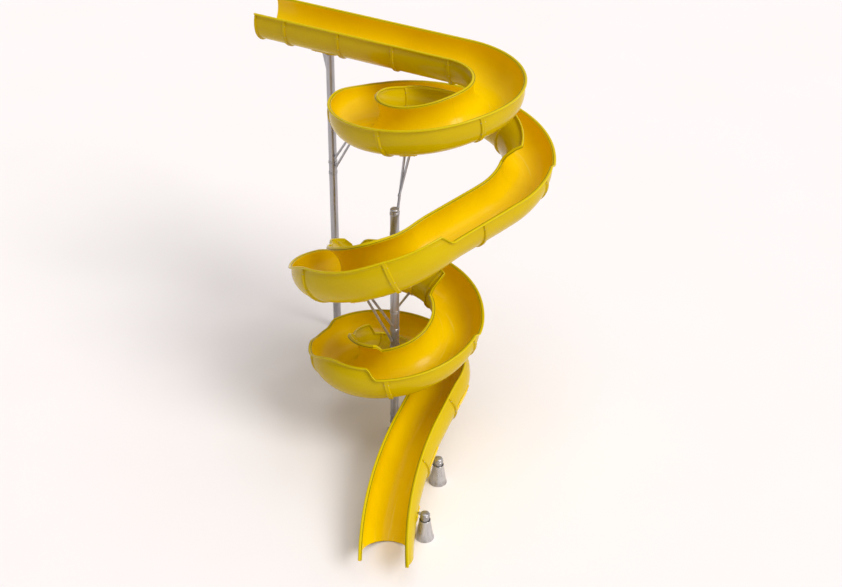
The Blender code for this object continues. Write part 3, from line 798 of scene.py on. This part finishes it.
def add_base(label, anchored):
    """Base plate with softened edges, gussets and anchor studs."""
    node = label + "_base_plate"
    low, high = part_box(node)
    mesh = bmesh.new()
    plate_mesh(mesh, low, high, 0.003)
    place = middle_of(node)
    if anchored:
        for k in range(4):
            turn = math.radians(45.0 + 90.0 * k)
            out = Vector((math.cos(turn), math.sin(turn), 0.0))
            side = Vector((-out.y, out.x, 0.0)) * 0.004
            foot = place + Vector((0.0, 0.0, high[2] + 0.0002))
            near = COLUMN_RADIUS + 0.011
            reach = 0.42 * (high[0] - low[0])
            outline = [(near, 0.0), (reach, 0.0), (reach, 0.012), (near, 0.10)]
            rings = [[foot + out * r + Vector((0.0, 0.0, h)) + side * s for r, h in outline]
                     for s in (-1.0, 1.0)]
            bridge(mesh, rings)
    add_piece(label + "_foot", mesh, COLUMN_PAINT, (node,))
    if anchored:
        bolts = bmesh.new()
        for x in (low[0] + ANCHOR_INSET, high[0] - ANCHOR_INSET):
            for y in (low[1] + ANCHOR_INSET, high[1] - ANCHOR_INSET):
                hex_bolt(bolts, Vector((x, y, high[2])), Vector((0.0, 0.0, 1.0)), 0.030, 0.018, 0.022)
        add_piece(label + "_anchors", bolts, BOLT_METAL)


def add_cone(label):
    """Spun shroud with a rolled foot, a collar at the throat and a riveted seam."""
    node = label + "_cone"
    low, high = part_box(node)
    place = middle_of(node)
    base = 0.5 * (high[0] - low[0])
    height = high[2]
    top = CONE_TOP
    wall = CONE_WALL
    outline = [
        (top - wall, height - 0.002), (top - 0.003, height), (top, height - 0.003),
        (top + 0.0015, height - 0.022), (top - 0.001, height - 0.026),
        (base - 0.010, 0.030), (base - 0.002, 0.018), (base, 0.010), (base, 0.002),
        (base - 0.002, 0.0), (base - wall, 0.0), (base - wall - 0.004, 0.020), (top - wall, height - 0.002),
    ]
    mesh = bmesh.new()
    turned(mesh, outline, Matrix.Translation(place))
    add_piece(label + "_shroud", mesh, CONE_PAINT, (node,))
    rivets = bmesh.new()
    for i in range(5):
        t = (i + 0.7) / 5.6
        radius = top + (base - 0.010 - top) * t
        for turn in (2.0, 2.0 + math.pi):
            outward = Vector((math.cos(turn), math.sin(turn), 0.18)).normalized()
            flat = Vector((math.cos(turn), math.sin(turn), 0.0))
            origin = place + flat * (radius - 0.0006) + Vector((0.0, 0.0, (height - 0.03) * (1.0 - t) + 0.02))
            turned(rivets, [(0.0, 0.0), (0.006, 0.0), (0.0055, 0.0016), (0.0035, 0.0030), (0.0, 0.0035)],
                   along_matrix(origin, outward), 12)
    add_piece(label + "_rivets", rivets, BOLT_METAL)


def rod_ends(node):
    """The two end centres and the radius of a straight round node."""
    points = [vertex.co.copy() for vertex in bpy.data.objects[node].data.vertices]
    centre = sum(points, Vector()) / len(points)
    far = max(points, key=lambda p: (p - centre).length)
    direction = (far - centre).normalized()
    for _ in range(6):
        along = [(p - centre).dot(direction) for p in points]
        limit = 0.5 * max(along)
        top = [p for p, a in zip(points, along) if a > limit]
        bottom = [p for p, a in zip(points, along) if a < -limit]
        high = sum(top, Vector()) / len(top)
        low = sum(bottom, Vector()) / len(bottom)
        direction = (high - low).normalized()
    radius = max((p - centre - direction * (p - centre).dot(direction)).length for p in points)
    return low, high, radius


def add_arm(node):
    """Round arm with a crimped collar at both ends."""
    low, high, radius = rod_ends(node)
    length = (high - low).length
    edge = min(0.010, 0.2 * length)
    sleeve = min(0.045, 0.3 * length)
    outline = [(0.0, 0.0), (radius - 0.002, 0.0), (radius, 0.002), (radius, edge)]
    if length > 0.3:
        outline += [(radius, sleeve), (radius - 0.003, sleeve + 0.004),
                    (radius - 0.003, length - sleeve - 0.004), (radius, length - sleeve)]
    outline += [(radius, length - edge), (radius, length - 0.002), (radius - 0.002, length), (0.0, length)]
    mesh = bmesh.new()
    turned(mesh, outline, along_matrix(low, (high - low).normalized()), 40)
    add_piece(node + "_tube", mesh, ARM_PAINT, (node,))


CONE_PAINT = steel_material("light_grey_shrouds", SHROUD_BASE, SHROUD_DARK, SHROUD_GRIME)
for column_label, column_collars, column_anchored in COLUMNS:
    add_column(column_label, column_collars)
    add_base(column_label, column_anchored)
add_cone("exit_1")
add_cone("exit_2")
for arm in ARMS:
    add_arm(arm)
gusset = bpy.data.objects["top_run_gusset"]
gusset.data.materials.clear()
gusset.data.materials.append(ARM_PAINT)


# ---------------------------------------------------------------- floor, light and camera
FOCAL_LENGTH = 59.21
LENS_SHIFT = 0.0309
CAMERA_PLACE = Vector((0.005, -21.429, 17.738))
CAMERA_DOWN = math.radians(33.89)
FLOOR_REACH = 400.0
WORLD_COLOUR = (1.0, 0.965, 0.975, 1.0)
WORLD_LEFT = 0.20                  # surround brightness on either side
WORLD_RIGHT = 0.78


def add_floor():
    mesh = bpy.data.meshes.new("floor")
    reach = FLOOR_REACH
    corners = [(-reach, -reach, 0.0), (reach, -reach, 0.0), (reach, reach, 0.0), (-reach, reach, 0.0)]
    mesh.from_pydata(corners, [], [(0, 1, 2, 3)])
    mesh.materials.append(floor_material())
    floor = bpy.data.objects.new("floor", mesh)
    floor.location.z = -0.001
    bpy.context.scene.collection.objects.link(floor)


def add_sun(name, direction, strength, spread, colour):
    """Soft parallel light coming from a direction."""
    light = bpy.data.lights.new(name, "SUN")
    light.energy = strength
    light.angle = math.radians(spread)
    light.color = colour
    lamp = bpy.data.objects.new(name, light)
    lamp.location = Vector(direction) * 20.0
    lamp.rotation_euler = Vector(direction).to_track_quat("Z", "Y").to_euler()
    bpy.context.scene.collection.objects.link(lamp)


def add_world():
    """Even studio surround, dimmer on the left-hand side."""
    world = bpy.data.worlds.new("studio")
    world.use_nodes = True
    tree = world.node_tree
    place = tree.nodes.new("ShaderNodeTexCoord")
    split = tree.nodes.new("ShaderNodeSeparateXYZ")
    tree.links.new(place.outputs["Generated"], split.inputs[0])
    across = tree.nodes.new("ShaderNodeMapRange")
    across.inputs["From Min"].default_value = -1.0
    across.inputs["From Max"].default_value = 1.0
    across.inputs["To Min"].default_value = WORLD_LEFT
    across.inputs["To Max"].default_value = WORLD_RIGHT
    tree.links.new(split.outputs[0], across.inputs["Value"])
    tree.nodes["Background"].inputs["Color"].default_value = WORLD_COLOUR
    tree.links.new(across.outputs[0], tree.nodes["Background"].inputs["Strength"])
    bpy.context.scene.world = world


def add_camera():
    lens = bpy.data.cameras.new("camera")
    lens.sensor_width = 36.0
    lens.lens = FOCAL_LENGTH
    lens.shift_x = LENS_SHIFT
    lens.clip_end = 500.0
    camera = bpy.data.objects.new("camera", lens)
    camera.location = CAMERA_PLACE
    camera.rotation_euler = (math.pi / 2.0 - CAMERA_DOWN, 0.0, 0.0)
    bpy.context.scene.collection.objects.link(camera)
    bpy.context.scene.camera = camera


add_floor()
add_sun("key", (0.70, -0.56, 0.85), 1.70, 28.0, (1.0, 0.985, 0.955))
add_sun("top", (0.10, -0.10, 1.0), 0.78, 50.0, (1.0, 0.995, 0.98))
add_world()
add_camera()
bpy.context.scene.view_settings.view_transform = "Standard"
